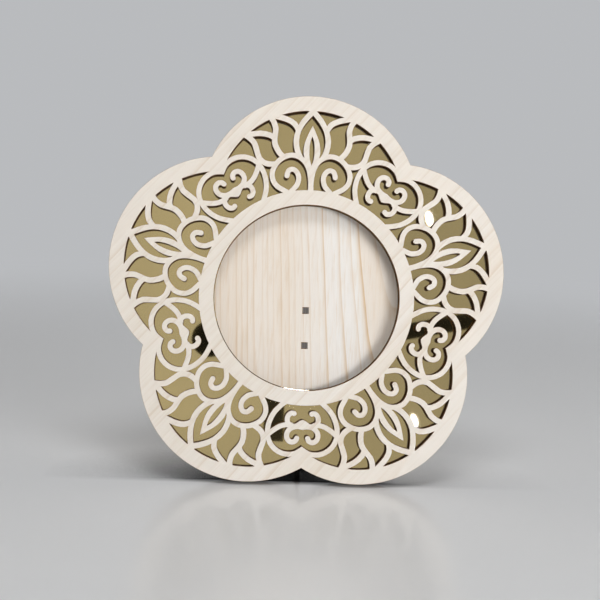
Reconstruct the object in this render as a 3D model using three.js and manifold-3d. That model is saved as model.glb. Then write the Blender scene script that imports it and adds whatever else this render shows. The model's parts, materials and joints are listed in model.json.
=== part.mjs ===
// Flower-shaped photo frame: flat laser-cut layers, leaned back on two petals and a plug-in leg.
// Millimetres, +Z up. The frame stands on z = 0 and its front faces -Y.
import * as THREE from 'three';
import { mergeVertices } from 'three/addons/utils/BufferGeometryUtils.js';
import Module from 'manifold-3d';

const wasm = await Module();
wasm.setup();

// Flower outline: equal arcs round one centre, one petal straight up
const petalCount = 5;
const petalCentreRadius = 46.2;
const petalRadius = 53.8;

// Openwork front panel
const frontThickness = 3;
const windowRadius = 46;
const ringWidth = 7.3;
const rimWidth = 7.3;
const bladeWidth = 2.85; // bars of the lotus leaves
const curlWidth = 2.6; // bars of the scrolls and clouds
const rimRunOn = 12; // bars that meet the rim run straight on past its inner edge by this

// Gold mirror sheet, whose window is smaller by a lip
const mirrorThickness = 2;
const mirrorLip = 0.35;

// Spacer with a channel that a round print slides into from the top
const spacerThickness = 2;
const printOverlap = 4; // hidden edge of the print, all round the window
const printClearance = 1;

// Back board with two mortises on the centre line
const boardThickness = 3;
const upperMortiseDrop = 6.2; // from the flower's centre down to the upper mortise
const mortisePitch = 17.5;

// Leg, cut from one plate
const legThickness = 2.7;
const tenonHeight = 2.7;
const tenonRecess = 1.2; // tenon ends stop this far behind the board's front
const legShoulder = 7; // plate above the upper tenon and below the lower one
const legHeadDepth = 9;
const legHeadRadius = 4;
const footStart = 21; // foot runs between these two distances behind the board
const footEnd = 38;
const legSweep = 0.45; // how far down the leg its curved edges turn outwards

// Fits
const bondGap = 0.3; // double-sided film between layers
const shoulderGap = 0.3; // leg's shoulder to the board
const tenonClearance = 0.25;
const lean = THREE.MathUtils.degToRad(10);

// Facets
const arcSegments = 12; // half the steps of each arc
const circleArcs = 4;
const facetTurn = THREE.MathUtils.degToRad(20); // most that a bar's edge turns in one step

const sectorAngle = (2 * Math.PI) / petalCount;
const flowerReach = petalCentreRadius + petalRadius;
const drawnReach = 100; // the ornament below is drawn in hundredths of the flower's reach
const cutProud = 1; // cutting plates reach past the panel by steps of this
const mergeDistance = 1e-4;

// Distances of the layers' front faces behind the front of the frame
const mirrorFace = frontThickness + bondGap;
const spacerFace = mirrorFace + mirrorThickness + bondGap;
const boardFace = spacerFace + spacerThickness + bondGap;
const boardBack = boardFace + boardThickness;

const paleWood = new THREE.MeshStandardMaterial({ color: 0xe3dbcb, roughness: 0.7, metalness: 0 });
const grainedWood = new THREE.MeshStandardMaterial({ color: 0xe0cfb4, roughness: 0.7, metalness: 0 });
const goldMirror = new THREE.MeshStandardMaterial({ color: 0xac9d6b, roughness: 0.05, metalness: 1 });

// Half of the ornament round a petal's axis: [across, outwards] from the flower's centre
const petalBars = {
  scrollArch: {
    width: curlWidth,
    points: [
      [0.2, 38], [0.2, 48], [0.1, 57], [0.8, 62], [2.9, 66.7], [6.3, 69.5], [9.9, 70.3], [13.6, 69.2],
      [17.1, 66.2], [19.3, 61.2], [18.5, 56.8], [16, 54.1], [12, 52], [8, 49], [2, 42],
    ],
  },
  scrollCurl: {
    width: curlWidth,
    roundEnd: true,
    points: [
      [20, 37], [14, 46], [9.6, 52.3], [7, 55.3], [6.1, 59.2], [7.2, 62], [9.3, 63.3], [11.3, 62.4],
      [12, 59.9],
    ],
  },
  innerPetal: {
    width: bladeWidth,
    meetsRim: true,
    points: [[5.5, 68.9], [7.2, 72.6], [7.95, 77.5], [6.9, 83], [4.3, 87.5], [1.2, 91.2], [-2, 94.5]],
  },
  firstBlade: {
    width: bladeWidth,
    meetsRim: true,
    points: [[6.6, 82.2], [9.2, 86], [12.2, 87.7], [15.6, 88.7], [22, 90]],
  },
  secondBlade: {
    width: bladeWidth,
    meetsRim: true,
    points: [
      [14.3, 69.4], [16.6, 71.9], [18.4, 75.4], [18.7, 78.6], [18.3, 82.8], [19.6, 86.8], [23, 91],
    ],
  },
  thirdBlade: {
    width: bladeWidth,
    meetsRim: true,
    points: [[18.6, 78.4], [21.2, 79.8], [26, 80.45], [30, 79.8], [33, 80]],
  },
  fourthBlade: {
    width: bladeWidth,
    meetsRim: true,
    points: [
      [17.8, 65.5], [21.2, 65.4], [24.2, 66.4], [26.35, 68.75], [27.3, 71.7], [28.45, 75.1], [30.85, 77.7],
      [35.5, 80.5],
    ],
  },
};

// Half of the ornament round the axis between two petals, in the same way
const cloudBars = {
  cloudOutline: {
    width: curlWidth,
    points: [
      [-0.8, 74.25], [0.7, 75.3], [3.3, 76.8], [6.6, 77.3], [10.1, 76.7], [13.4, 74.8], [15.7, 72.1],
      [16.95, 69], [17.2, 65.8], [16.75, 62.6], [15.65, 59.5], [14, 56.6], [11.65, 54], [6, 49], [-2, 42],
    ],
  },
  cloudLink: {
    width: curlWidth,
    points: [[17, 67.8], [14.2, 65.5], [11.3, 63.7], [8.4, 62.8], [5, 63]],
  },
  upperCurl: {
    width: curlWidth,
    roundEnd: true,
    points: [
      [0, 63.9], [2, 63.6], [5.2, 64.2], [7.3, 66.2], [7.7, 68.6], [6.8, 70.5], [5, 71.25],
      [3.2, 70.5], [2.7, 69.3],
    ],
  },
  lowerCurl: {
    width: curlWidth,
    roundEnd: true,
    points: [
      [0, 61.5], [1.4, 62.3], [3.5, 63.5], [6, 63], [7.5, 61.4], [7.6, 59.5], [6.9, 57.9],
      [5.5, 57.05], [4.4, 57.25],
    ],
  },
};

// Pointed leaf on a petal's axis with a slit along its middle: [half width, outwards]
const leafEdge = [[0, 85.4], [2.1, 81], [3.8, 76.3], [4.2, 71.5], [2.5, 64], [0, 58]];
const slitEdge = [[0, 79.7], [0.85, 77.3], [1.25, 72.8], [0.9, 68.5], [0, 65.6]];

function drawn([across, outwards]) {
  return new THREE.Vector3(across, outwards, 0).multiplyScalar(flowerReach / drawnReach);
}

function petalAngle(index) {
  return Math.PI / 2 + index * sectorAngle;
}

// Flower outline drawn in by an inset: an arc round each petal's centre, from notch to notch
function flowerShape(inset) {
  const radius = petalRadius - inset;
  const halfPitch = petalCentreRadius * Math.sin(sectorAngle / 2);
  const halfSweep = Math.PI / 2 + sectorAngle / 2 - Math.acos(halfPitch / radius);
  const outline = new THREE.Shape();
  for (let petal = 0; petal < petalCount; petal += 1) {
    const middle = petalAngle(petal);
    const x = petalCentreRadius * Math.cos(middle);
    const y = petalCentreRadius * Math.sin(middle);
    outline.absarc(x, y, radius, middle - halfSweep, middle + halfSweep, false);
  }
  return outline.closePath();
}

// Circle in several arcs, so that it gets finer facets than one
function circlePath(radius) {
  const circle = new THREE.Path();
  const sweep = (2 * Math.PI) / circleArcs;
  for (let arc = 0; arc < circleArcs; arc += 1) {
    circle.absarc(0, 0, radius, arc * sweep, (arc + 1) * sweep, false);
  }
  return circle.closePath();
}

function extrude(shape, depth) {
  return new THREE.ExtrudeGeometry(shape, { depth, bevelEnabled: false, curveSegments: arcSegments });
}

// Plate that reaches past both faces of a sheet, for cutting it
function cutter(shape, thickness, proud) {
  return extrude(shape, thickness + 2 * proud).translate(0, 0, -proud);
}

function toSolid(geometry) {
  const bare = geometry.clone().deleteAttribute('normal').deleteAttribute('uv');
  const merged = mergeVertices(bare, mergeDistance);
  const vertProperties = new Float32Array(merged.attributes.position.array);
  const triVerts = new Uint32Array(merged.index.array);
  return new wasm.Manifold(new wasm.Mesh({ numProp: 3, vertProperties, triVerts }));
}

function toGeometry(solid) {
  const mesh = solid.getMesh();
  const indexed = new THREE.BufferGeometry();
  indexed.setAttribute('position', new THREE.BufferAttribute(mesh.vertProperties, 3));
  indexed.setIndex(new THREE.BufferAttribute(mesh.triVerts, 1));
  const geometry = indexed.toNonIndexed();
  geometry.computeVertexNormals();
  return geometry;
}

// Smooth line through points, as steps that are short where it turns and long where it runs straight
function smoothLine(points) {
  const line = new THREE.CatmullRomCurve3(points.map(drawn));
  const spans = points.length - 1;
  const places = [0];
  for (let span = 0; span < spans; span += 1) {
    const turn = line.getTangent(span / spans).angleTo(line.getTangent((span + 1) / spans));
    const steps = Math.max(1, Math.ceil(turn / facetTurn));
    for (let step = 1; step <= steps; step += 1) places.push((span + step / steps) / spans);
  }
  return places.map((place) => ({ centre: line.getPoint(place), along: line.getTangent(place) }));
}

// Half circle from one corner of a bar's end round to the other
function roundCap(corner, centre) {
  const capSteps = Math.ceil(Math.PI / facetTurn);
  const cap = [];
  for (let step = 1; step < capSteps; step += 1) {
    cap.push(corner.clone().rotateAround(centre, (-Math.PI * step) / capSteps));
  }
  return cap;
}

// Bar of one width along a smooth line
function barShape(points, { width, meetsRim = false, roundEnd = false }, roundStart = false) {
  const steps = smoothLine(points);
  if (meetsRim) {
    const { centre, along } = steps.at(-1);
    steps.push({ centre: centre.clone().addScaledVector(along, rimRunOn), along });
  }
  const edge = (reach) => steps.map(({ centre, along }) => (
    new THREE.Vector2(centre.x - along.y * reach, centre.y + along.x * reach)
  ));
  const left = edge(width / 2);
  const right = edge(-width / 2).reverse();
  const endCap = roundEnd ? roundCap(left.at(-1), steps.at(-1).centre) : [];
  const startCap = roundStart ? roundCap(right.at(-1), steps[0].centre) : [];
  return new THREE.Shape([...left, ...endCap, ...right, ...startCap]);
}

// A bar that starts on the motif's axis runs across it, and any other is a mirrored pair
function barShapes(bar) {
  const { points } = bar;
  const mirrored = points.map(([across, outwards]) => [-across, outwards]);
  if (points[0][0] !== 0) return [barShape(points, bar), barShape(mirrored, bar)];
  return [barShape([...mirrored.reverse(), ...points.slice(1)], bar, bar.roundEnd)];
}

// Closed outline from one edge and its mirror image
function mirroredShape(points) {
  const half = smoothLine(points).map(({ centre }) => new THREE.Vector2(centre.x, centre.y));
  const otherHalf = half.slice(1, -1).reverse().map(({ x, y }) => new THREE.Vector2(-x, y));
  return new THREE.Shape([...half, ...otherHalf]);
}

function union(solids) {
  return solids.reduce((joined, solid) => joined.add(solid));
}

// All bars and the leaf of one motif, turned onto its axis
function motif(bars, axisAngle, leaf) {
  const turned = (shape, proud) => (
    toSolid(cutter(shape, frontThickness, proud).rotateZ(axisAngle - Math.PI / 2))
  );
  const shapes = Object.values(bars).flatMap(barShapes);
  const joined = union(shapes.map((shape) => turned(shape, 2 * cutProud)));
  if (!leaf) return joined;
  const blade = turned(mirroredShape(leafEdge), 2 * cutProud);
  return joined.add(blade).subtract(turned(mirroredShape(slitEdge), 3 * cutProud));
}

function frontPanelGeometry() {
  const motifs = [];
  for (let petal = 0; petal < petalCount; petal += 1) {
    motifs.push(motif(petalBars, petalAngle(petal), true));
    motifs.push(motif(cloudBars, petalAngle(petal) + sectorAngle / 2, false));
  }
  const field = flowerShape(rimWidth);
  field.holes.push(circlePath(windowRadius + ringWidth));
  const openings = toSolid(cutter(field, frontThickness, cutProud)).subtract(union(motifs));
  const blank = flowerShape(0);
  blank.holes.push(circlePath(windowRadius));
  return toGeometry(toSolid(extrude(blank, frontThickness)).subtract(openings));
}

function mirrorGeometry() {
  const sheet = flowerShape(0);
  sheet.holes.push(circlePath(windowRadius - mirrorLip));
  return extrude(sheet, mirrorThickness);
}

// Channel for the print: a half round at the bottom, straight up past the top petal
function spacerGeometry() {
  const halfWidth = windowRadius + printOverlap + printClearance;
  const channel = new THREE.Shape();
  channel.absarc(0, 0, halfWidth, Math.PI, 2 * Math.PI, false);
  channel.lineTo(halfWidth, flowerReach + petalRadius);
  channel.lineTo(-halfWidth, flowerReach + petalRadius);
  const sheet = toSolid(extrude(flowerShape(0), spacerThickness));
  return toGeometry(sheet.subtract(toSolid(cutter(channel, spacerThickness, cutProud))));
}

const mortiseHeights = [-upperMortiseDrop, -upperMortiseDrop - mortisePitch];

function boardGeometry() {
  const board = flowerShape(0);
  const halfWidth = legThickness / 2 + tenonClearance;
  const halfHeight = tenonHeight / 2 + tenonClearance;
  for (const height of mortiseHeights) {
    const mortise = new THREE.Path();
    mortise.moveTo(-halfWidth, height - halfHeight);
    mortise.lineTo(halfWidth, height - halfHeight);
    mortise.lineTo(halfWidth, height + halfHeight);
    mortise.lineTo(-halfWidth, height + halfHeight);
    board.holes.push(mortise.closePath());
  }
  return extrude(board, boardThickness);
}

// Leg plate seen from the side: [behind the board's back, up the flower]
function legGeometry() {
  const lowest = Math.min(...flowerShape(0).getPoints(arcSegments).map(({ y }) => y));
  const onTable = (behind) => lowest + behind * Math.tan(lean);
  const [upper, lower] = mortiseHeights;
  const top = upper + tenonHeight / 2 + legShoulder;
  const bottom = lower - tenonHeight / 2 - legShoulder;
  const tenonEnd = tenonRecess - boardThickness;
  const turnHeight = THREE.MathUtils.lerp(onTable(footStart), bottom, legSweep);
  const leg = new THREE.Shape();
  leg.moveTo(shoulderGap, bottom);
  leg.quadraticCurveTo(shoulderGap, turnHeight, footStart, onTable(footStart));
  leg.lineTo(footEnd, onTable(footEnd));
  leg.quadraticCurveTo(legHeadDepth, turnHeight, legHeadDepth, top - legHeadRadius);
  leg.absarc(legHeadDepth - legHeadRadius, top - legHeadRadius, legHeadRadius, 0, Math.PI / 2, false);
  leg.lineTo(shoulderGap, top);
  for (const height of mortiseHeights) {
    leg.lineTo(shoulderGap, height + tenonHeight / 2);
    leg.lineTo(tenonEnd, height + tenonHeight / 2);
    leg.lineTo(tenonEnd, height - tenonHeight / 2);
    leg.lineTo(shoulderGap, height - tenonHeight / 2);
  }
  return extrude(leg.closePath(), legThickness);
}

function piece(name, geometry, material) {
  const mesh = new THREE.Mesh(geometry, material);
  mesh.name = name;
  return mesh;
}

// Flower axes: X to the right, Y up the flower, Z out of its front face
const flowerFrame = new THREE.Group();
flowerFrame.rotation.x = Math.PI / 2 - lean;

function addLayer(name, geometry, material, face, thickness) {
  const layer = piece(name, geometry, material);
  layer.position.z = -face - thickness;
  flowerFrame.add(layer);
}

addLayer('front_panel', frontPanelGeometry(), paleWood, 0, frontThickness);
addLayer('mirror_sheet', mirrorGeometry(), goldMirror, mirrorFace, mirrorThickness);
addLayer('print_spacer', spacerGeometry(), paleWood, spacerFace, spacerThickness);
addLayer('back_board', boardGeometry(), grainedWood, boardFace, boardThickness);

// The leg's plate lies across the board, so its outline turns to run backwards
const standLeg = piece('stand_leg', legGeometry(), grainedWood);
standLeg.rotation.y = Math.PI / 2;
standLeg.position.set(-legThickness / 2, 0, -boardBack);
flowerFrame.add(standLeg);

// Origin under the middle of the standing frame
const photoFrame = new THREE.Group();
photoFrame.add(flowerFrame);
photoFrame.updateMatrixWorld(true);
const box = new THREE.Box3().setFromObject(photoFrame, true);
const middle = box.getCenter(new THREE.Vector3());
flowerFrame.position.set(-middle.x, -middle.y, -box.min.z);

export default photoFrame;
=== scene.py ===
import json
from math import cos, pi, radians, sin

import bmesh
import bpy
from mathutils import Euler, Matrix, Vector


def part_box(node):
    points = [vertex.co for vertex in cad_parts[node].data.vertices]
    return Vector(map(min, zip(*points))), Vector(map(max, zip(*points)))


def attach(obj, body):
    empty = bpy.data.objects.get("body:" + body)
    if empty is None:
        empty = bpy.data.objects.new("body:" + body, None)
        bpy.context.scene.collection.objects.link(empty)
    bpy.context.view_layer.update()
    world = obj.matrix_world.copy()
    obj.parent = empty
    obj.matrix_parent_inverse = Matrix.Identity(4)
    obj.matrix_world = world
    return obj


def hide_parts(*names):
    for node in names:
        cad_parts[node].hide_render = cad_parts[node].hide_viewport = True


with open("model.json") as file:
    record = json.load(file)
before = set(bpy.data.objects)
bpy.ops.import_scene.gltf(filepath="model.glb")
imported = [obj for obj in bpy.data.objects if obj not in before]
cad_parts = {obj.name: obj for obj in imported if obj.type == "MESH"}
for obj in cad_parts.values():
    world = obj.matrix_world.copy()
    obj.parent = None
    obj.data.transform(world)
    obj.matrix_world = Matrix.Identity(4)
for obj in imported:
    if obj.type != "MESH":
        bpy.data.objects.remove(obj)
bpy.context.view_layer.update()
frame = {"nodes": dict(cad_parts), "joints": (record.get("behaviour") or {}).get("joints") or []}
bpy.ops.object.select_all(action="DESELECT")
bpy.context.scene.view_settings.view_transform = "Standard"
print("frame loaded:", ", ".join(sorted(frame["nodes"])))

# The flower's own axes: right across its face, up its face and out of its front
flower = {
    "reach": 0.1,            # middle to the tip of a petal
    "panelThickness": 0.003,
    "mirrorThickness": 0.002,
    "spacerThickness": 0.002,
    "boardThickness": 0.003,
    "legThickness": 0.0027,
    "filmGap": 0.0003,       # bond film between two sheets
}
faceOut = -Vector(frame["joints"][0]["axis"])  # the leg is pulled straight back
faceRight = Vector((1, 0, 0))
faceUp = faceOut.cross(faceRight)
lean = faceOut.angle(Vector((0, -1, 0)))
panelLow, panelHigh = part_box("front_panel")
faceTop = Vector((0, panelHigh.y - flower["panelThickness"] * cos(lean), panelHigh.z))
faceMiddle = faceTop - faceUp * flower["reach"]
spacerDepth = flower["panelThickness"] + flower["mirrorThickness"] + 2 * flower["filmGap"]
boardDepth = spacerDepth + flower["spacerThickness"] + flower["filmGap"]


def onFace(right, up, out=0.0):
    return faceMiddle + faceRight * right + faceUp * up + faceOut * out


def around(azimuth, elevation):
    # unit vector towards a place round the frame, azimuth 0 in front and positive to the right
    turn, rise = radians(azimuth), radians(elevation)
    return Vector((sin(turn) * cos(rise), -cos(turn) * cos(rise), sin(rise)))


# Camera, as the photograph was taken: a little left of the middle and above, slightly rolled
photoView = {
    "lens": 78.0,            # mm, on a sensor 36 mm wide
    "sensor": 36.0,
    "aim": (-0.0034, -0.0013),
    "distance": 0.6413,
    "azimuth": -3.32,
    "elevation": 7.96,
    "roll": 2.55,
}


def makeCamera():
    data = bpy.data.cameras.new("photo_camera")
    data.lens = photoView["lens"]
    data.sensor_width = photoView["sensor"]
    data.clip_start = 0.01
    camera = bpy.data.objects.new("photo_camera", data)
    bpy.context.scene.collection.objects.link(camera)
    back = around(photoView["azimuth"], photoView["elevation"])
    camera.location = onFace(*photoView["aim"]) + back * photoView["distance"]
    upright = (-back).to_track_quat("-Z", "Y")
    rolled = Euler((0, 0, radians(photoView["roll"]))).to_quaternion()
    camera.rotation_mode = "QUATERNION"
    camera.rotation_quaternion = upright @ rolled
    bpy.context.scene.camera = camera


# Small helpers for the node materials
def tone(red, green, blue):
    # a colour as it is read off a screen, 0 to 255, made linear
    def linear(value):
        share = value / 255
        return share / 12.92 if share <= 0.04045 else ((share + 0.055) / 1.055) ** 2.4
    return (linear(red), linear(green), linear(blue), 1.0)


def newMaterial(name):
    material = bpy.data.materials.new(name)
    material.use_nodes = True
    tree = material.node_tree
    return material, tree, tree.nodes["Principled BSDF"]


def addNode(tree, kind, inputs=None, **settings):
    node = tree.nodes.new(kind)
    for key, value in settings.items():
        setattr(node, key, value)
    for key, value in (inputs or {}).items():
        if isinstance(value, bpy.types.NodeSocket):
            tree.links.new(value, node.inputs[key])
        else:
            node.inputs[key].default_value = value
    return node


def mixTones(tree, share, first, second, blend="MIX"):
    node = addNode(tree, "ShaderNodeMix", data_type="RGBA", blend_type=blend)
    for socket, value in zip((node.inputs[0], node.inputs[6], node.inputs[7]), (share, first, second)):
        if isinstance(value, bpy.types.NodeSocket):
            tree.links.new(value, socket)
        else:
            socket.default_value = value
    return node.outputs[2]


def mixValues(tree, share, first, second):
    return addNode(tree, "ShaderNodeMix", {0: share, 2: first, 3: second}).outputs[0]


def ramp(tree, value, stops, smooth=False):
    node = addNode(tree, "ShaderNodeValToRGB", {"Fac": value})
    node.color_ramp.interpolation = "EASE" if smooth else "LINEAR"
    elements = node.color_ramp.elements
    while len(elements) < len(stops):
        elements.new(1.0)
    for element, (place, colour) in zip(elements, stops):
        element.position = place
        element.color = colour if isinstance(colour, tuple) else (colour, colour, colour, 1.0)
    return node.outputs["Color"]


def calc(tree, operation, *values):
    return addNode(tree, "ShaderNodeMath", dict(enumerate(values)), operation=operation).outputs[0]


def between(tree, value, low, high, **settings):
    # share of the way from low to high
    inputs = {"Value": value, "From Min": low, "From Max": high}
    return addNode(tree, "ShaderNodeMapRange", inputs, **settings).outputs["Result"]


def fromAxis(tree, point):
    # distance from the Z axis
    flat = addNode(tree, "ShaderNodeVectorMath", {0: point, 1: (1, 1, 0)}, operation="MULTIPLY").outputs[0]
    return addNode(tree, "ShaderNodeVectorMath", {0: flat}, operation="LENGTH").outputs["Value"]


def grainAxes(tree, turn, tilt=0.0, trunk=(0.0, 0.0), swing=0.0):
    # object coordinates turned so that X runs across the grain, Y into the sheet and Z along the grain
    angles = Euler((lean + radians(tilt), -radians(turn), radians(swing)))
    place = Vector((-trunk[0], trunk[1], 0)) - angles.to_matrix() @ faceMiddle
    point = addNode(tree, "ShaderNodeTexCoord").outputs["Object"]
    mapping = addNode(tree, "ShaderNodeMapping", {"Vector": point, "Location": place, "Rotation": angles})
    return mapping.outputs["Vector"]


def stretched(tree, point, across, along, depth=None):
    sizes = (across, across if depth is None else depth, along)
    return addNode(tree, "ShaderNodeMapping", {"Vector": point, "Scale": sizes}).outputs["Vector"]


def noise(tree, point, detail=2.0, roughness=0.5):
    node = addNode(tree, "ShaderNodeTexNoise", {"Vector": point, "Scale": 1.0, "Detail": detail})
    node.inputs["Roughness"].default_value = roughness
    return node


def addRelief(tree, shader, height, finish):
    sizes = {"Height": height, "Strength": finish["reliefStrength"], "Distance": finish["relief"]}
    bump = addNode(tree, "ShaderNodeBump", sizes)
    tree.links.new(bump.outputs["Normal"], shader.inputs["Normal"])


# Wood finishes: grain is turned in degrees from upright, to the right, and lengths are in metres. The
# trunk's middle lies to the right of the flower's and behind the sheet, so its rings run wider towards it.
frontWood = {
    "name": "front_veneer",
    "turn": 42.0,
    "tilt": 2.0,
    "trunk": (0.1, 0.05),
    "ringPitch": 0.0052,
    "uneven": 0.0045,        # most that a ring is out of step
    "wander": 0.003,         # most that a ring strays along the grain
    "pale": tone(237, 231, 223),
    "warm": tone(232, 222, 209),
    "zones": [(0.0, 0.4), (0.3, 0.75), (0.45, 0.15), (0.6, 0.7), (0.75, 0.1), (1.0, 0.5)],
    "line": tone(208, 186, 160),
    "lineShare": 0.6,
    "streakShare": 0.3,
    "fibreShare": 0.07,
}
boardWood = {
    "name": "board_veneer",
    "turn": 0.0,
    "tilt": 4.0,
    "trunk": (0.047, 0.03),
    "ringPitch": 0.0029,
    "uneven": 0.0026,
    "wander": 0.002,
    "pale": tone(239, 235, 230),
    "warm": tone(235, 224, 211),
    "zones": [(0.2, 0.0), (0.32, 0.25), (0.43, 0.0), (0.55, 0.5), (0.66, 0.9), (0.71, 0.9), (0.75, 0.1)],
    "line": tone(209, 174, 124),
    "lineShare": 0.9,
    "streakShare": 0.4,
    "fibreShare": 0.1,
}
# What both woods share. Sizes of noise are repeats to the metre, across the grain and along it.
woodGrain = {
    "stray": (40, 11),
    "steps": 170.0,          # unevenness from ring to ring
    "patches": (60, 9),      # stretches where rings are stronger
    "streaks": (850, 7),
    "fibres": (1700, 30),
    "zoneReach": (0.11, 0.02),  # distances from the trunk's middle that the zones lie between
    "gloss": 0.3,
    "relief": 0.0002,
    "reliefStrength": 0.25,
}


def makeWood(wood):
    material, tree, shader = newMaterial(wood["name"])
    grain = grainAxes(tree, wood["turn"], wood["tilt"], wood["trunk"])

    # distance from the trunk's middle, which strays a little and is uneven from ring to ring
    distance = fromAxis(tree, grain)
    stray = noise(tree, stretched(tree, grain, *woodGrain["stray"])).outputs["Fac"]
    strayed = calc(tree, "MULTIPLY_ADD", stray, wood["wander"], distance)
    pace = {"W": strayed, "Scale": woodGrain["steps"], "Detail": 2.0}
    steps = addNode(tree, "ShaderNodeTexNoise", pace, noise_dimensions="1D")
    radius = calc(tree, "MULTIPLY_ADD", steps.outputs["Fac"], wood["uneven"], strayed)
    count = calc(tree, "MULTIPLY", radius, 1 / wood["ringPitch"])
    within = calc(tree, "FRACT", count)

    # dark late wood of each ring, stronger in some rings and stretches than in others
    late = ramp(tree, within, [(0.0, 0.0), (0.04, 1.0), (0.11, 0.75), (0.27, 0.2), (0.6, 0.0), (1.0, 0.0)])
    whole = calc(tree, "FLOOR", count)
    own = addNode(tree, "ShaderNodeTexWhiteNoise", {"W": whole}, noise_dimensions="1D").outputs["Value"]
    ownShare = ramp(tree, own, [(0.0, 0.1), (0.4, 0.45), (1.0, 1.0)])
    patchy = noise(tree, stretched(tree, grain, *woodGrain["patches"]), 3.0, 0.6).outputs["Fac"]
    strength = ramp(tree, patchy, [(0.3, 0.4), (0.6, 1.0)])
    lines = calc(tree, "MULTIPLY", calc(tree, "MULTIPLY", late, ownShare), strength)

    # pale and warm zones that follow the rings, thin streaks and fine fibres along the grain
    zoneShare = ramp(tree, between(tree, radius, *woodGrain["zoneReach"]), wood["zones"], True)
    ground = mixTones(tree, zoneShare, wood["warm"], wood["pale"])
    thin = noise(tree, stretched(tree, grain, *woodGrain["streaks"]), 3.0, 0.6).outputs["Fac"]
    streaks = ramp(tree, thin, [(0.5, 0.0), (0.68, 0.55), (0.8, 1.0)])
    streaked = mixTones(tree, calc(tree, "MULTIPLY", streaks, wood["streakShare"]), ground, wood["line"])
    veined = mixTones(tree, calc(tree, "MULTIPLY", lines, wood["lineShare"]), streaked, wood["line"])
    fibres = noise(tree, stretched(tree, grain, *woodGrain["fibres"]), 3.0, 0.65).outputs["Fac"]
    shade = ramp(tree, fibres, [(0.25, 0.55), (0.6, 1.0)])
    colour = mixTones(tree, wood["fibreShare"], veined, shade, "MULTIPLY")
    tree.links.new(colour, shader.inputs["Base Color"])

    dull = ramp(tree, fibres, [(0.3, 0.72), (0.7, 0.56)])
    tree.links.new(dull, shader.inputs["Roughness"])
    shader.inputs["Specular IOR Level"].default_value = woodGrain["gloss"]
    height = calc(tree, "SUBTRACT", lines, fibres)
    addRelief(tree, shader, height, woodGrain)
    return material


# Cut edges: laser-charred, with greyer ends on the tenons
charredEdge = {
    "dark": tone(94, 64, 40),
    "brown": tone(150, 108, 70),
    "toasted": tone(178, 138, 96),
    "glueLine": tone(58, 39, 25),
}
tenonEnd = {
    "dark": tone(110, 105, 102),
    "brown": tone(144, 138, 133),
    "toasted": tone(158, 149, 139),
    "glueLine": tone(84, 78, 74),
}
cutMarks = {
    "streaks": (1100, 1100, 90),        # repeats to the metre across, along and through a sheet
    "cutterStreaks": (700, 700, 60),
    "roughness": 0.8,
    "relief": 0.0001,
    "reliefStrength": 0.4,
}


def makeCutEdge(name, edge, faceDepth, thickness, swing=0.0):
    # burnt streaks through the sheet, two glue lines along it, lighter beside the faces
    material, tree, shader = newMaterial(name)
    point = grainAxes(tree, 0.0, swing=swing)
    streaks = noise(tree, stretched(tree, point, *cutMarks["streaks"]), 3.0, 0.6).outputs["Fac"]
    burnt = ramp(tree, streaks, [(0.3, edge["dark"]), (0.75, edge["brown"])])
    depth = addNode(tree, "ShaderNodeSeparateXYZ", {"Vector": point}).outputs["Y"]
    fromFace = calc(tree, "PINGPONG", calc(tree, "SUBTRACT", depth, faceDepth), thickness / 2)
    inwards = calc(tree, "MULTIPLY", fromFace, 2 / thickness)
    glue = ramp(tree, inwards, [(0.52, 0.0), (0.62, 0.6), (0.7, 0.6), (0.8, 0.0)])
    layered = mixTones(tree, glue, burnt, edge["glueLine"])
    nearFace = ramp(tree, inwards, [(0.02, 1.0), (0.16, 0.0)])
    colour = mixTones(tree, nearFace, layered, edge["toasted"])
    tree.links.new(colour, shader.inputs["Base Color"])
    shader.inputs["Roughness"].default_value = cutMarks["roughness"]
    addRelief(tree, shader, streaks, cutMarks)
    return material


# Tinted clear acrylic sheet, silvered on its back
goldMirror = {
    "tint": tone(221, 196, 134),
    "refraction": 1.49,
    "haze": (0.004, 0.02),    # least and most roughness
    "smears": (60, 90),       # repeats of the haze to the metre, across and up
    "waves": (28, 28),
    "relief": 0.00002,        # how far the sheet is out of flat
    "reliefStrength": 1.0,
    "silver": tone(244, 244, 243),
    "silverRoughness": 0.02,
    "amber": tone(146, 112, 46),
    "amberDark": tone(84, 60, 22),
    "amberRoughness": 0.12,
}


def makeAcrylic():
    material, tree, shader = newMaterial("tinted_acrylic")
    point = grainAxes(tree, 0.0)
    shader.inputs["Base Color"].default_value = goldMirror["tint"]
    shader.inputs["Transmission Weight"].default_value = 1.0
    shader.inputs["IOR"].default_value = goldMirror["refraction"]
    smears = noise(tree, stretched(tree, point, *goldMirror["smears"]), 3.0).outputs["Fac"]
    least, most = goldMirror["haze"]
    tree.links.new(ramp(tree, smears, [(0.35, least), (0.75, most)]), shader.inputs["Roughness"])
    waves = noise(tree, stretched(tree, point, *goldMirror["waves"]), 1.0).outputs["Fac"]
    addRelief(tree, shader, waves, goldMirror)
    return material


def makeSilvering():
    material, _, shader = newMaterial("silvering")
    shader.inputs["Base Color"].default_value = goldMirror["silver"]
    shader.inputs["Metallic"].default_value = 1.0
    shader.inputs["Roughness"].default_value = goldMirror["silverRoughness"]
    return material


def makeSheetEdge(name, colour, darker, roughness):
    # plain edge of the acrylic or of a film, with faint cutter streaks
    material, tree, shader = newMaterial(name)
    point = grainAxes(tree, 0.0)
    streaks = noise(tree, stretched(tree, point, *cutMarks["cutterStreaks"])).outputs["Fac"]
    tree.links.new(mixTones(tree, streaks, darker, colour), shader.inputs["Base Color"])
    shader.inputs["Roughness"].default_value = roughness
    return material


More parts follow.
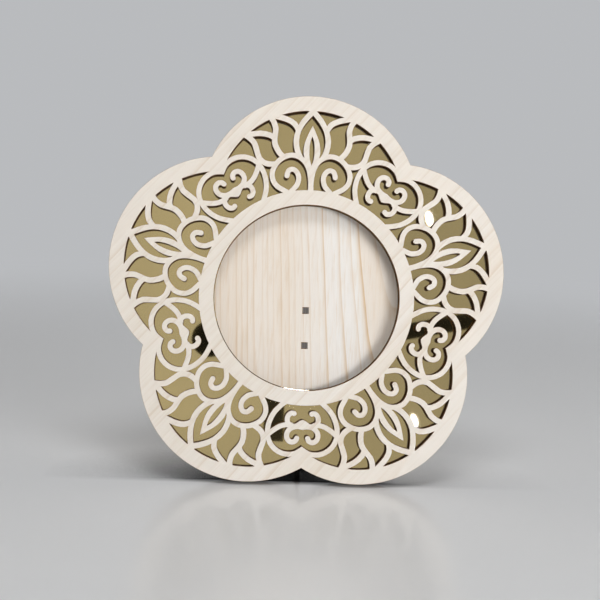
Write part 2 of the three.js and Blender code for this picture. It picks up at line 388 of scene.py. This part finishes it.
# Modelling helpers
sheetEdges = {
    "weld": 0.000002,
    "flat": radians(0.6),     # faces this near to flat become one
    "corner": radians(32),    # an outline that turns more than this keeps its corner
    "longestStep": 0.012,     # longer edges are straight in the real outline too
    "chamfer": 0.00008,
    "smooth": radians(30),
    "facing": 0.9,            # share of a normal along the sheet's own that makes it a front or a back
    "sameDepth": 0.0001,
}


def pickOnly(piece):
    bpy.ops.object.select_all(action="DESELECT")
    piece.select_set(True)
    bpy.context.view_layer.objects.active = piece


def copyWalls(node, name, out):
    # copy of a sheet's cut walls, without its two faces
    piece = bpy.data.objects.new(name, frame["nodes"][node].data.copy())
    bpy.context.scene.collection.objects.link(piece)
    piece.data.name = name
    piece.data.materials.clear()
    pickOnly(piece)
    bpy.ops.mesh.customdata_custom_splitnormals_clear()
    bpy.ops.object.mode_set(mode="EDIT")
    bpy.ops.mesh.select_mode(type="FACE")
    bpy.ops.mesh.select_all(action="SELECT")
    bpy.ops.mesh.remove_doubles(threshold=sheetEdges["weld"])
    bpy.ops.mesh.select_all(action="DESELECT")
    mesh = bmesh.from_edit_mesh(piece.data)
    for face in mesh.faces:
        face.select_set(abs(face.normal.dot(out)) > sheetEdges["facing"])
    bmesh.update_edit_mesh(piece.data)
    bpy.ops.mesh.delete(type="FACE")
    bpy.ops.mesh.select_all(action="SELECT")
    bpy.ops.mesh.dissolve_limited(angle_limit=sheetEdges["flat"])
    bpy.ops.object.mode_set(mode="OBJECT")
    return piece


def selectRims(piece, out, sides):
    # open edges of the walls, on the front (1), on the back (-1) or on both
    bpy.ops.mesh.select_mode(type="EDGE")
    bpy.ops.mesh.select_all(action="DESELECT")
    mesh = bmesh.from_edit_mesh(piece.data)
    depths = [point.co.dot(out) for point in mesh.verts]
    middle = (min(depths) + max(depths)) / 2
    rims = [edge for edge in mesh.edges if edge.is_boundary]
    for edge in rims:
        side = 1 if edge.verts[0].co.dot(out) > middle else -1
        edge.select_set(side in sides)
    bmesh.update_edit_mesh(piece.data)
    return mesh, rims


def roundOutlines(piece, out):
    # halves each step of the outlines, with the new point out on the curve that the step stands for
    oldCount = len(piece.data.vertices)
    bpy.ops.object.mode_set(mode="EDIT")
    selectRims(piece, out, (1, -1))
    bpy.ops.mesh.subdivide(number_cuts=1)
    mesh, rims = selectRims(piece, out, (1, -1))
    beside = {}
    for edge in rims:
        for point in edge.verts:
            beside.setdefault(point, []).append(edge.other_vert(point))
    shifts = {}
    for point in list(mesh.verts)[oldCount:]:
        first, last = beside[point]
        step = (last.co - first.co).length
        bulges = []
        for end in (first, last):
            before = next(other for other in beside[end] if other != point)
            coming = (end.co - before.co).normalized()
            going = (point.co - end.co).normalized()
            if step < sheetEdges["longestStep"] and coming.angle(going) < sheetEdges["corner"]:
                tangent = (coming + going).normalized()
                bulges.append((tangent - going * tangent.dot(going)) * step / 4)
        if bulges:
            shifts[point] = sum(bulges, Vector()) / len(bulges)
    for point, shift in shifts.items():
        point.co += shift
    bmesh.update_edit_mesh(piece.data)
    bpy.ops.object.mode_set(mode="OBJECT")


def closeSheet(piece, out, chamfer):
    # breaks the edges of the walls and closes the sheet with its two faces
    bpy.ops.object.mode_set(mode="EDIT")
    for side in (1, -1):
        selectRims(piece, out, (side,))
        if chamfer:
            bpy.ops.transform.translate(value=-side * chamfer * out)
            bpy.ops.mesh.extrude_edges_move(TRANSFORM_OT_translate={"value": side * chamfer * out})
            bpy.ops.transform.shrink_fatten(value=-chamfer, use_even_offset=True)
        bpy.ops.mesh.fill(use_beauty=True)
    bpy.ops.mesh.select_all(action="SELECT")
    bpy.ops.mesh.normals_make_consistent(inside=False)
    bpy.ops.object.mode_set(mode="OBJECT")


def finishPiece(piece, out, front, back, wall, body):
    piece.data.materials.append(front)
    piece.data.materials.append(back)
    piece.data.materials.append(wall)
    least = sheetEdges["facing"]
    for face in piece.data.polygons:
        facing = face.normal.dot(out)
        face.material_index = 0 if facing > least else 1 if facing < -least else 2
    pickOnly(piece)
    bpy.ops.object.shade_smooth_by_angle(angle=sheetEdges["smooth"])
    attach(piece, body)
    print("made", piece.name, len(piece.data.polygons), "faces")


def makeSheet(node, out, front, back, wall, body):
    piece = copyWalls(node, node + "_dressed", out)
    roundOutlines(piece, out)
    closeSheet(piece, out, sheetEdges["chamfer"])
    finishPiece(piece, out, front, back, wall, body)
    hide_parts(node)
    return piece


def markTenonEnds(leg, material):
    leg.data.materials.append(material)
    furthest = max(point.co.dot(faceOut) for point in leg.data.vertices)
    for face in leg.data.polygons:
        isEnd = face.center.dot(faceOut) > furthest - sheetEdges["sameDepth"]
        if isEnd and face.normal.dot(faceOut) > sheetEdges["facing"]:
            face.material_index = len(leg.data.materials) - 1


bondFilm = {
    "colour": tone(168, 135, 100),
    "darker": tone(124, 95, 66),
    "roughness": 0.5,
    "clear": 0.000008,        # from the sheets on both sides
}


def makeFilm(name, node, side, thickness, material):
    # bond film in front of (1) or behind (-1) the sheet that it holds, cut to the same outline
    film = copyWalls(node, name, faceOut)
    roundOutlines(film, faceOut)
    gap, clear = flower["filmGap"], bondFilm["clear"]
    bpy.ops.object.mode_set(mode="EDIT")
    selectRims(film, faceOut, (side,))
    bpy.ops.transform.translate(value=side * (gap - clear) * faceOut)
    selectRims(film, faceOut, (-side,))
    bpy.ops.transform.translate(value=side * (thickness + clear) * faceOut)
    bpy.ops.object.mode_set(mode="OBJECT")
    closeSheet(film, faceOut, 0)
    finishPiece(film, faceOut, material, material, material, "frame")


# Floor that curves up into a round backdrop, so that every side has the same pale ground
studio = {
    "floorRadius": 1.1,
    "sweep": 0.45,            # radius of the curve between floor and wall
    "wall": 0.7,
    "sides": 96,
    "steps": 8,
    "colour": tone(241, 242, 243),
    "roughness": 0.2,
    "gloss": 0.5,
    "closedIn": 0.06,         # what stands nearer than this darkens the floor behind the frame
    "behind": (0.002, 0.009),  # that shade sets in between these distances behind the front
    "depths": [(0.0, 0.4), (0.38, 0.6), (0.48, 1.0), (0.58, 0.6), (0.75, 0.16)],  # from left to right
    "deepest": 8.0,
    "lift": 0.05,             # glow of the open floor, which stands in for the rest of the room's light
    "lit": (0.35, 0.9),       # radii between which the lit floor fades
    "ground": (0.487, 0.497, 0.513),
    "room": (-0.25, 0.45),    # in front, the room darkens from left to right between these places
    "roomShades": (1.28, 0.82),
    "roomDepth": (0.2, -0.6),  # from the back to the front, the room's shades come in between these
    "roomStreaks": (9, 0.5),  # repeats to the metre, across and up
    "roomSpread": (0.3, 0.7),  # noise between these runs from the dark bands to the pale ones
    "roomBands": (0.92, 1.08),
}


def makeGround():
    material, tree, shader = newMaterial("studio_ground")
    shader.inputs["Roughness"].default_value = studio["roughness"]
    point = addNode(tree, "ShaderNodeTexCoord").outputs["Object"]
    places = addNode(tree, "ShaderNodeSeparateXYZ", {"Vector": point}).outputs

    # what glows is only seen directly, in the gold or through something clear, so that it lights nothing
    rays = addNode(tree, "ShaderNodeLightPath").outputs
    seen = rays["Is Camera Ray"]
    for ray in ("Is Glossy Ray", "Is Transmission Ray"):
        seen = calc(tree, "MAXIMUM", seen, rays[ray])

    # deep shade behind the frame and under its overhanging front
    sky = addNode(tree, "ShaderNodeAmbientOcclusion", {"Distance": studio["closedIn"]}, samples=8)
    depth = ramp(tree, between(tree, places["X"], panelLow.x, panelHigh.x), studio["depths"])
    shaded = calc(tree, "POWER", sky.outputs["AO"], calc(tree, "MULTIPLY", depth, studio["deepest"]))
    behind = between(tree, places["Y"], *(panelLow.y + gap for gap in studio["behind"]))
    openShare = mixValues(tree, behind, 1.0, shaded)
    tree.links.new(mixTones(tree, openShare, (0, 0, 0, 1), studio["colour"]), shader.inputs["Base Color"])
    tree.links.new(calc(tree, "MULTIPLY", openShare, studio["gloss"]), shader.inputs["Specular IOR Level"])
    shader.inputs["Emission Color"].default_value = studio["colour"]
    lift = calc(tree, "MULTIPLY", calc(tree, "MULTIPLY", openShare, seen), studio["lift"])
    tree.links.new(lift, shader.inputs["Emission Strength"])

    # away from the frame the lit floor fades to an even ground
    radius = fromAxis(tree, point)
    faded = between(tree, radius, *studio["lit"], interpolation_type="SMOOTHSTEP")

    # the room in front, which the gold sheet shows
    sides = between(tree, places["X"], *studio["room"])
    sideShade = mixValues(tree, sides, *studio["roomShades"])
    streaks = noise(tree, stretched(tree, point, *studio["roomStreaks"]), 1.0).outputs["Fac"]
    bands = between(tree, streaks, *studio["roomSpread"])
    bandShade = mixValues(tree, bands, *studio["roomBands"])
    room = calc(tree, "MULTIPLY", sideShade, bandShade)
    inFront = between(tree, places["Y"], *studio["roomDepth"])
    reflected = calc(tree, "SUBTRACT", inFront, rays["Is Camera Ray"])
    roomShare = calc(tree, "MAXIMUM", reflected, 0.0)
    shade = mixValues(tree, roomShare, 1.0, room)
    glow = addNode(tree, "ShaderNodeEmission", {"Color": (*studio["ground"], 1.0), "Strength": shade})

    share = calc(tree, "MULTIPLY", faded, seen)
    mixed = addNode(tree, "ShaderNodeMixShader", {0: share, 1: shader.outputs[0], 2: glow.outputs[0]})
    tree.links.new(mixed.outputs[0], tree.nodes["Material Output"].inputs["Surface"])
    return material


def makeStudio():
    bpy.ops.object.select_all(action="DESELECT")
    bpy.ops.mesh.primitive_circle_add(
        vertices=studio["sides"], radius=studio["floorRadius"], fill_type="NGON")
    ground = bpy.context.object
    ground.name = "studio_ground"
    bpy.ops.object.mode_set(mode="EDIT")
    bpy.ops.mesh.select_mode(type="EDGE")
    bpy.ops.mesh.select_all(action="SELECT")
    quarter = [pi / 2 * step / studio["steps"] for step in range(studio["steps"] + 1)]
    rise = [(studio["sweep"] * sin(angle), studio["sweep"] * (1 - cos(angle))) for angle in quarter]
    rise.append((studio["sweep"], studio["sweep"] + studio["wall"]))
    radius = studio["floorRadius"]
    for (fromOut, fromUp), (toOut, toUp) in zip(rise, rise[1:]):
        bpy.ops.mesh.extrude_edges_move(TRANSFORM_OT_translate={"value": (0, 0, toUp - fromUp)})
        grow = (radius + toOut) / (radius + fromOut)
        bpy.ops.transform.resize(value=(grow, grow, 1), center_override=(0, 0, 0))
    bpy.ops.mesh.select_all(action="SELECT")
    bpy.ops.mesh.normals_make_consistent(inside=True)
    bpy.ops.object.mode_set(mode="OBJECT")
    bpy.ops.object.shade_smooth_by_angle(angle=sheetEdges["smooth"])
    ground.data.materials.append(makeGround())
    print("made studio ground")
    return ground


# What the gold shows of the room: each card's middle to the right of and above the flower's, its size, its
# turn in degrees and its glow, all at one distance in front. Those that glow more than 1 are lamps.
plainCard = (1, 1, 1, 1)
lampCard = (0.5, 0.58, 1, 1)  # bluish, which the gold's tint makes white
cards = {
    "lens": {"middle": (-0.054, -0.02), "size": (0.036, 0.036), "turn": 0, "glow": 0.015, "sides": 32},
    "body": {"middle": (-0.015, -0.048), "size": (0.074, 0.02), "turn": -38, "glow": 0.005, "sides": 4},
    "tripod": {"middle": (0.012, -0.091), "size": (0.02, 0.056), "turn": 0, "glow": 0.04, "sides": 4},
    "shelf": {"middle": (0.18, 0.002), "size": (0.15, 0.016), "turn": 12, "glow": 0.02, "sides": 4},
    "upperLamp": {"middle": (0.1605, 0.108), "size": (0.008, 0.016), "turn": 12, "glow": 8.0, "sides": 32},
    "lowerLamp": {"middle": (0.152, -0.094), "size": (0.007, 0.014), "turn": 20, "glow": 8.0, "sides": 32},
    "strip": {"middle": (0.03, -0.067), "size": (0.032, 0.014), "turn": 0, "glow": 40.0, "sides": 4},
}
cardDistance = 0.64


def makeCards():
    for name, card in cards.items():
        sides = card["sides"]
        half = 0.5 / cos(pi / sides)  # from the middle to a corner of a shape that is 1 across
        bpy.ops.object.select_all(action="DESELECT")
        bpy.ops.mesh.primitive_circle_add(vertices=sides, radius=half, fill_type="NGON")
        piece = bpy.context.object
        piece.name = name + "_card"
        flatTurn = Euler((0, 0, pi / sides)).to_matrix().to_4x4()
        piece.data.transform(flatTurn)
        piece.scale = (*card["size"], 1)
        piece.location = onFace(*card["middle"], cardDistance)
        piece.rotation_euler = (pi / 2 - lean, radians(-card["turn"]), 0)
        for ray in ("camera", "diffuse", "volume_scatter", "shadow"):
            setattr(piece, "visible_" + ray, False)
        material, tree, _ = newMaterial(name + "_card")
        colour = lampCard if card["glow"] > 1 else plainCard
        glow = addNode(tree, "ShaderNodeEmission", {"Color": colour, "Strength": card["glow"]})
        tree.links.new(glow.outputs[0], tree.nodes["Material Output"].inputs["Surface"])
        piece.data.materials.append(material)
    print("made", len(cards), "cards")


# Soft lights round the frame: where they stand, how far, how large and how strong. Those behind light
# the pieces and not the floor, so that no shadow falls forwards.
lights = {
    "key": {"place": (37, 5), "distance": 1.35, "size": (0.66, 0.2), "watts": 9.7, "floor": True},
    "fill": {"place": (-8, 14), "distance": 1.3, "size": (0.9, 0.9), "watts": 0.5, "floor": True},
    "top": {"place": (-2, 58), "distance": 1.1, "size": (0.6, 0.4), "watts": 4.1, "floor": True},
    "backLeft": {"place": (-132, 24), "distance": 1.3, "size": (0.7, 0.7), "watts": 6.5, "floor": False},
    "backRight": {"place": (140, 30), "distance": 1.3, "size": (0.7, 0.7), "watts": 9.5, "floor": False},
}
worldLight = {"colour": (1.0, 0.96, 0.91, 1.0), "strength": 0.1}


def makeLights(ground):
    onlyPieces = bpy.data.collections.new("without_floor")
    onlyPieces.objects.link(ground)
    onlyPieces.collection_objects[0].light_linking.link_state = "EXCLUDE"
    for name, light in lights.items():
        data = bpy.data.lights.new(name, "AREA")
        data.shape = "ELLIPSE"
        data.size, data.size_y = light["size"]
        data.energy = light["watts"]
        lamp = bpy.data.objects.new(name, data)
        bpy.context.scene.collection.objects.link(lamp)
        lamp.visible_glossy = lamp.visible_transmission = False  # the gold shows the cards instead
        if not light["floor"]:
            lamp.light_linking.receiver_collection = onlyPieces
        away = around(*light["place"])
        lamp.location = faceMiddle + away * light["distance"]
        lamp.rotation_mode = "QUATERNION"
        lamp.rotation_quaternion = away.to_track_quat("Z", "Y")
    world = bpy.data.worlds.new("studio_world")
    bpy.context.scene.world = world
    world.use_nodes = True
    sky = world.node_tree.nodes["Background"]
    sky.inputs["Color"].default_value = worldLight["colour"]
    sky.inputs["Strength"].default_value = worldLight["strength"]
    print("made", len(lights), "lights")


makeCamera()

frontVeneer = makeWood(frontWood)
boardVeneer = makeWood(boardWood)
frontEdge = makeCutEdge("front_edge", charredEdge, 0.0, flower["panelThickness"])
spacerEdge = makeCutEdge("spacer_edge", charredEdge, spacerDepth, flower["spacerThickness"])
boardEdge = makeCutEdge("board_edge", charredEdge, boardDepth, flower["boardThickness"])
legThickness, legSwing = flower["legThickness"], 90.0  # the leg stands square to the other sheets
legEdge = makeCutEdge("leg_edge", charredEdge, -legThickness / 2, legThickness, legSwing)
tenonTip = makeCutEdge("tenon_end", tenonEnd, -legThickness / 2, legThickness, legSwing)
acrylic = makeAcrylic()
silvering = makeSilvering()
amberEdge = makeSheetEdge(
    "amber_edge", goldMirror["amber"], goldMirror["amberDark"], goldMirror["amberRoughness"])
filmEdge = makeSheetEdge("bond_film", bondFilm["colour"], bondFilm["darker"], bondFilm["roughness"])
print("made materials")

makeSheet("front_panel", faceOut, frontVeneer, frontVeneer, frontEdge, "frame")
makeSheet("mirror_sheet", faceOut, acrylic, silvering, amberEdge, "frame")
makeSheet("print_spacer", faceOut, frontVeneer, frontVeneer, spacerEdge, "frame")
makeSheet("back_board", faceOut, boardVeneer, boardVeneer, boardEdge, "frame")
leg = makeSheet("stand_leg", faceRight, boardVeneer, boardVeneer, legEdge, "leg")
markTenonEnds(leg, tenonTip)
makeFilm("front_bond_film", "front_panel", -1, flower["panelThickness"], filmEdge)
makeFilm("mirror_bond_film", "print_spacer", 1, flower["spacerThickness"], filmEdge)
makeFilm("board_bond_film", "print_spacer", -1, flower["spacerThickness"], filmEdge)

ground = makeStudio()
makeCards()
makeLights(ground)
